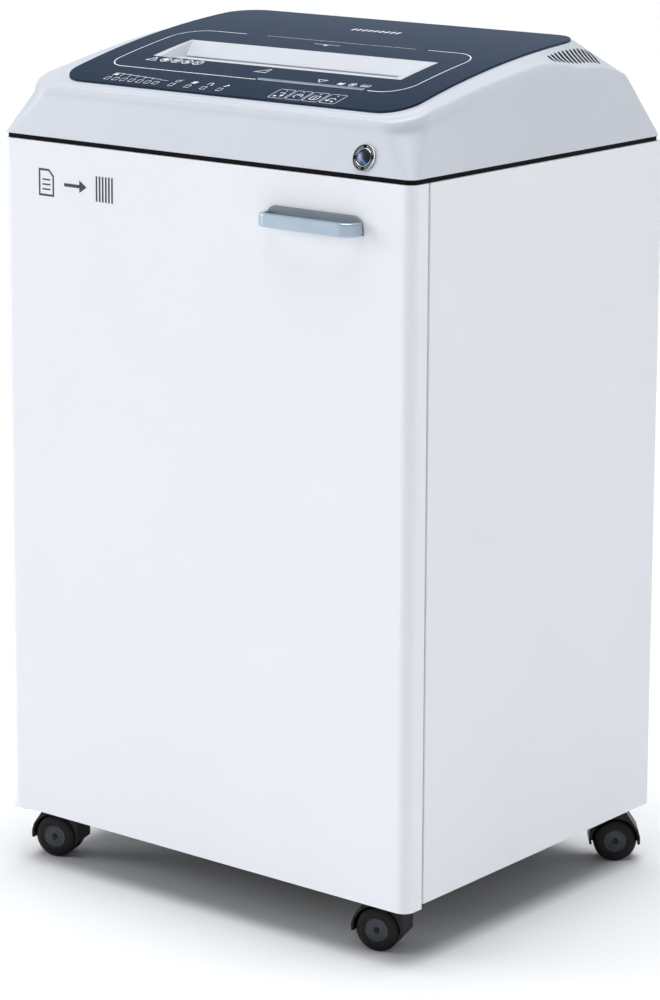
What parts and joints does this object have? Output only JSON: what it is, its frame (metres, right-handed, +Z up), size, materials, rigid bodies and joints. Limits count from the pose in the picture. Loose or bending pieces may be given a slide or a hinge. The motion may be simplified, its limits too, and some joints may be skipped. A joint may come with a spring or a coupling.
{
  "type": "paper shredder",
  "caption": "Free-standing office paper shredder: white hinged-door cabinet on casters, waste bin inside, and a sloped head with feed slot, control panel, cutters and geared motor.",
  "frame": {"origin": "on the floor under the middle of the bounding box", "axes": "+X to the right of a person facing the door, +Y to the back, +Z up; the door faces -Y"},
  "size_m": [0.53, 0.4606, 0.8856],
  "materials": {
    "white_board": "smooth white laminate, satin",
    "white_plastic": "white moulding, fine satin grain",
    "black_plastic": "black moulding, satin",
    "panel_blue": "slate-blue panel, semi-gloss",
    "silver_plastic": "silver-grey painted moulding",
    "grey_plastic": "grey moulding",
    "steel": "bright zinc-plated steel",
    "dark_steel": "oiled hardened steel",
    "tyre": "black hard nylon tread",
    "board_green": "green circuit board",
    "lens_blue": "domed blue resin"
  },
  "bodies": {
    "cabinet": {"cabinet_left_side": "white_board", "cabinet_right_side": "white_board", "cabinet_floor": "white_board", "cabinet_back": "white_board", "front_rail": "white_board", "rear_rail": "white_board", "head_cover": "white_plastic", "feed_throat": "white_plastic", "head_base_tray": "black_plastic", "door_switch": "black_plastic", "power_inlet": "black_plastic", "main_switch": "black_plastic", "control_panel": "panel_blue", "panel_trim_bar": "silver_plastic", "waste_bin": "grey_plastic", "catch_magnet": "grey_plastic", "run_capacitor": "grey_plastic", "door_pivot_lower": "steel", "door_pivot_pin_upper": "steel", "badge_ring": "steel", "unit_plate_left": "steel", "unit_plate_right": "steel", "comb_front": "steel", "comb_rear": "steel", "gear_carrier": "steel", "reduction_axle": "dark_steel", "motor": "dark_steel", "control_board": "board_green", "badge_lens": "lens_blue", "caster_front_left_stem": "steel", "caster_front_right_stem": "steel", "caster_rear_left_stem": "steel", "caster_rear_right_stem": "steel"},
    "door_leaf": {"door": "white_board", "door_handle": "silver_plastic", "catch_strike": "steel"},
    "plunger": {"door_switch_plunger": "white_plastic"},
    "rocker": {"switch_rocker": "black_plastic"},
    "cutter_rear": {"cutter_shaft_rear": "dark_steel", "sync_gear_rear": "steel", "drive_gear": "steel"},
    "cutter_front": {"cutter_shaft_front": "dark_steel", "sync_gear_front": "steel"},
    "reduction": {"reduction_gear": "steel"},
    "motor_rotor": {"motor_shaft": "steel"},
    "swivel_front_left": {"caster_front_left_hood": "black_plastic"},
    "wheel_front_left_a": {"caster_front_left_wheel_a": "tyre"},
    "wheel_front_left_b": {"caster_front_left_wheel_b": "tyre"},
    "swivel_front_right": {"caster_front_right_hood": "black_plastic"},
    "wheel_front_right_a": {"caster_front_right_wheel_a": "tyre"},
    "wheel_front_right_b": {"caster_front_right_wheel_b": "tyre"},
    "swivel_rear_left": {"caster_rear_left_hood": "black_plastic"},
    "wheel_rear_left_a": {"caster_rear_left_wheel_a": "tyre"},
    "wheel_rear_left_b": {"caster_rear_left_wheel_b": "tyre"},
    "swivel_rear_right": {"caster_rear_right_hood": "black_plastic"},
    "wheel_rear_right_a": {"caster_rear_right_wheel_a": "tyre"},
    "wheel_rear_right_b": {"caster_rear_right_wheel_b": "tyre"}
  },
  "joints": [
    {"name": "door_hinge", "type": "hinge", "parent": "cabinet", "child": "door_leaf", "pos_m": [-0.2525, -0.19581, 0.418], "axis": [0, 0, -1], "range_deg": [0, 110]},
    {"name": "switch_plunger_slide", "type": "slide", "parent": "cabinet", "child": "plunger", "axis": [0, -1, 0], "range_m": [0, 0.003]},
    {"name": "main_switch_rock", "type": "hinge", "parent": "cabinet", "child": "rocker", "pos_m": [-0.14, 0.20619, 0.72], "axis": [1, 0, 0], "range_deg": [-9, 9]},
    {"name": "cutter_rear_spin", "type": "hinge", "parent": "cabinet", "child": "cutter_rear", "pos_m": [0, -0.03281, 0.815], "axis": [1, 0, 0], "continuous": true},
    {"name": "cutter_front_spin", "type": "hinge", "parent": "cabinet", "child": "cutter_front", "pos_m": [0, -0.07881, 0.815], "axis": [1, 0, 0], "continuous": true},
    {"name": "reduction_spin", "type": "hinge", "parent": "cabinet", "child": "reduction", "pos_m": [-0.185, 0.00969, 0.82639], "axis": [1, 0, 0], "continuous": true},
    {"name": "motor_spin", "type": "hinge", "parent": "cabinet", "child": "motor_rotor", "pos_m": [-0.09, 0.05616, 0.82801], "axis": [1, 0, 0], "continuous": true},
    {"name": "swivel_front_left_turn", "type": "hinge", "parent": "cabinet", "child": "swivel_front_left", "pos_m": [-0.218, -0.15931, 0.05], "axis": [0, 0, 1], "continuous": true},
    {"name": "wheel_front_left_a_roll", "type": "hinge", "parent": "swivel_front_left", "child": "wheel_front_left_a", "pos_m": [-0.23421, -0.16442, 0.023], "axis": [0.3007, -0.9537, 0], "continuous": true},
    {"name": "wheel_front_left_b_roll", "type": "hinge", "parent": "swivel_front_left", "child": "wheel_front_left_b", "pos_m": [-0.23421, -0.16442, 0.023], "axis": [0.3007, -0.9537, 0], "continuous": true},
    {"name": "swivel_front_right_turn", "type": "hinge", "parent": "cabinet", "child": "swivel_front_right", "pos_m": [0.218, -0.15931, 0.05], "axis": [0, 0, 1], "continuous": true},
    {"name": "wheel_front_right_a_roll", "type": "hinge", "parent": "swivel_front_right", "child": "wheel_front_right_a", "pos_m": [0.20179, -0.16442, 0.023], "axis": [0.3007, -0.9537, 0], "continuous": true},
    {"name": "wheel_front_right_b_roll", "type": "hinge", "parent": "swivel_front_right", "child": "wheel_front_right_b", "pos_m": [0.20179, -0.16442, 0.023], "axis": [0.3007, -0.9537, 0], "continuous": true},
    {"name": "swivel_rear_left_turn", "type": "hinge", "parent": "cabinet", "child": "swivel_rear_left", "pos_m": [-0.218, 0.19069, 0.05], "axis": [0, 0, 1], "continuous": true},
    {"name": "wheel_rear_left_a_roll", "type": "hinge", "parent": "swivel_rear_left", "child": "wheel_rear_left_a", "pos_m": [-0.23397, 0.18488, 0.023], "axis": [0.342, -0.9397, 0], "continuous": true},
    {"name": "wheel_rear_left_b_roll", "type": "hinge", "parent": "swivel_rear_left", "child": "wheel_rear_left_b", "pos_m": [-0.23397, 0.18488, 0.023], "axis": [0.342, -0.9397, 0], "continuous": true},
    {"name": "swivel_rear_right_turn", "type": "hinge", "parent": "cabinet", "child": "swivel_rear_right", "pos_m": [0.218, 0.19069, 0.05], "axis": [0, 0, 1], "continuous": true},
    {"name": "wheel_rear_right_a_roll", "type": "hinge", "parent": "swivel_rear_right", "child": "wheel_rear_right_a", "pos_m": [0.2313, 0.20127, 0.023], "axis": [-0.6225, 0.7826, 0], "continuous": true},
    {"name": "wheel_rear_right_b_roll", "type": "hinge", "parent": "swivel_rear_right", "child": "wheel_rear_right_b", "pos_m": [0.2313, 0.20127, 0.023], "axis": [-0.6225, 0.7826, 0], "continuous": true}
  ],
  "couplings": [
    {"joint": "cutter_front_spin", "follows": "cutter_rear_spin", "ratio": -1},
    {"joint": "reduction_spin", "follows": "cutter_rear_spin", "ratio": -2.1429},
    {"joint": "motor_spin", "follows": "cutter_rear_spin", "ratio": 7.3469},
    {"joint": "switch_plunger_slide", "follows": "door_hinge", "m_per_rad": 0.0015626}
  ]
}
